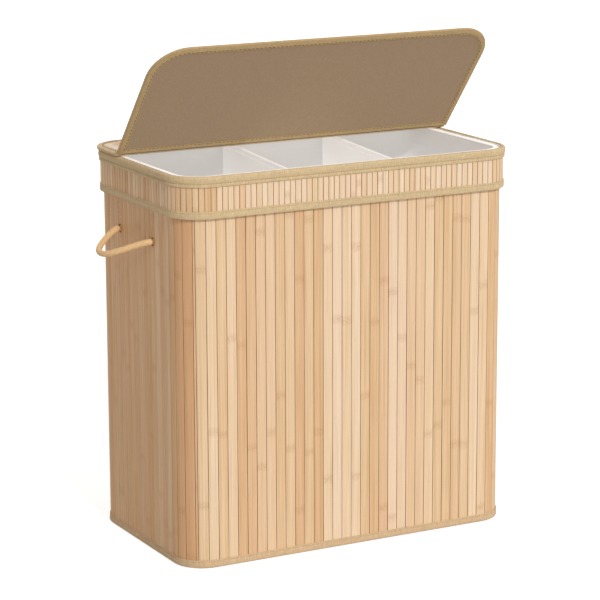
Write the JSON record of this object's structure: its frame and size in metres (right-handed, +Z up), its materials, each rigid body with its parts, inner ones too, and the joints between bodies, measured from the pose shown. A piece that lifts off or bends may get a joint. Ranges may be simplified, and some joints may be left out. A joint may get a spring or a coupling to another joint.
{
  "type": "laundry hamper",
  "caption": "Upright laundry hamper of bamboo slats with rounded corners, a divided cloth liner, a slatted lift-off collar, a fold-back lid and a rope handle at each end.",
  "frame": {"origin": "on the floor, under the middle of the sleeve, on the underside of the base", "axes": "+Z up, -Y out of the front, +X to the right-hand end seen from the front"},
  "size_m": [0.7264, 0.3582, 0.8208],
  "materials": {
    "bamboo_slats": "dry planed bamboo, satin",
    "woven_tape": "plain-woven cotton tape, stitched",
    "backing_cloth": "plain cloth glued to the slats",
    "fibreboard": "raw pressed board",
    "faced_board": "pressed board faced with off-white paper",
    "lid_cloth": "smooth khaki lining",
    "liner_cloth": "white cotton and polyester cloth, matt",
    "grip_tape": "hook and loop tape",
    "rope": "smooth twisted cotton rope"
  },
  "bodies": {
    "sleeve": {"front_slats": "bamboo_slats", "front_right_corner_slats": "bamboo_slats", "right_slats": "bamboo_slats", "back_right_corner_slats": "bamboo_slats", "back_slats": "bamboo_slats", "back_left_corner_slats": "bamboo_slats", "left_slats": "bamboo_slats", "front_left_corner_side_slats": "bamboo_slats", "front_left_corner_slats": "bamboo_slats", "mat_end_strip": "bamboo_slats", "sleeve_backing_cloth": "backing_cloth", "bottom_binding": "woven_tape", "sleeve_top_binding": "woven_tape", "base_cloth": "backing_cloth", "base_board": "fibreboard", "liner_floor": "liner_cloth", "liner_front_panel": "liner_cloth", "liner_right_panel": "liner_cloth", "liner_back_panel": "liner_cloth", "liner_left_panel": "liner_cloth", "liner_rim": "liner_cloth", "divider_left": "liner_cloth", "divider_hem_left": "liner_cloth", "divider_right": "liner_cloth", "divider_hem_right": "liner_cloth", "liner_grip_strip_front": "grip_tape", "liner_grip_strip_back": "grip_tape", "rope_knot_left_front": "rope", "rope_knot_left_rear": "rope", "rope_knot_right_front": "rope", "rope_knot_right_rear": "rope"},
    "collar": {"collar_lining": "backing_cloth", "collar_board": "fibreboard", "collar_seat": "faced_board", "collar_front_slats": "bamboo_slats", "collar_front_right_slats": "bamboo_slats", "collar_right_slats": "bamboo_slats", "collar_back_right_slats": "bamboo_slats", "collar_back_slats": "bamboo_slats", "collar_back_left_slats": "bamboo_slats", "collar_left_slats": "bamboo_slats", "collar_front_left_slats": "bamboo_slats", "collar_bottom_binding": "woven_tape", "collar_top_binding": "woven_tape", "rear_strip_lining": "lid_cloth", "rear_strip_board": "fibreboard", "rear_strip_slats": "bamboo_slats", "rear_strip_binding": "woven_tape", "hinge_tape": "woven_tape"},
    "lid": {"lid_lining": "lid_cloth", "lid_board": "fibreboard", "lid_slats": "bamboo_slats", "lid_binding": "woven_tape"},
    "handle_left": {"handle_rope_left": "rope"},
    "handle_right": {"handle_rope_right": "rope"}
  },
  "joints": [
    {"name": "collar_lift", "type": "slide", "parent": "sleeve", "child": "collar", "axis": [0, 0, 1], "range_m": [0, 0.1]},
    {"name": "lid_hinge", "type": "hinge", "parent": "collar", "child": "lid", "pos_m": [0, 0.058, 0.6369], "axis": [-1, 0, 0], "range_deg": [-50, 125]},
    {"name": "handle_left_swing", "type": "hinge", "parent": "sleeve", "child": "handle_left", "pos_m": [-0.3023, 0.0065, 0.5115], "axis": [0, 1, 0], "range_deg": [-64, 96]},
    {"name": "handle_right_swing", "type": "hinge", "parent": "sleeve", "child": "handle_right", "pos_m": [0.3023, 0.0065, 0.5115], "axis": [0, -1, 0], "range_deg": [-64, 96]}
  ]
}
